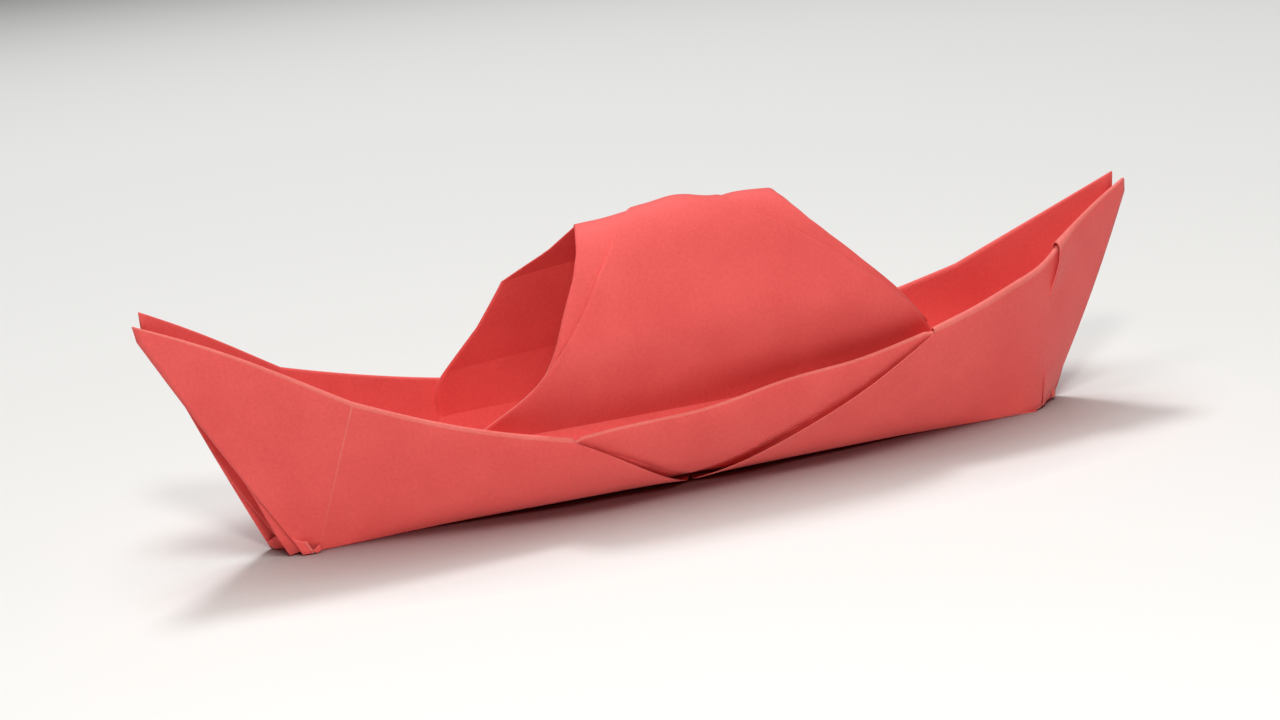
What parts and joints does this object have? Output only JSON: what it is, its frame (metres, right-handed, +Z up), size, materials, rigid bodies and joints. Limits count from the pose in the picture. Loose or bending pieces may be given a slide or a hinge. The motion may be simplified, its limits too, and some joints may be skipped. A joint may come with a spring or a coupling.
{
  "type": "paper boat",
  "caption": "folded paper boat with a slim hull, upturned pointed ends, recessed side panels and a curved awning over the middle",
  "frame": {"origin": "on the table under the middle of the hull, at the centre of the flat bottom", "axes": "+X along the boat towards its right end, +Y towards its far side, +Z up"},
  "size_m": [0.198, 0.0356, 0.0537],
  "materials": {
    "red_craft_paper": "matt, dyed through, faint fibre mottle"
  },
  "bodies": {
    "root": {"folded_sheet": "red_craft_paper"}
  },
  "joints": []
}
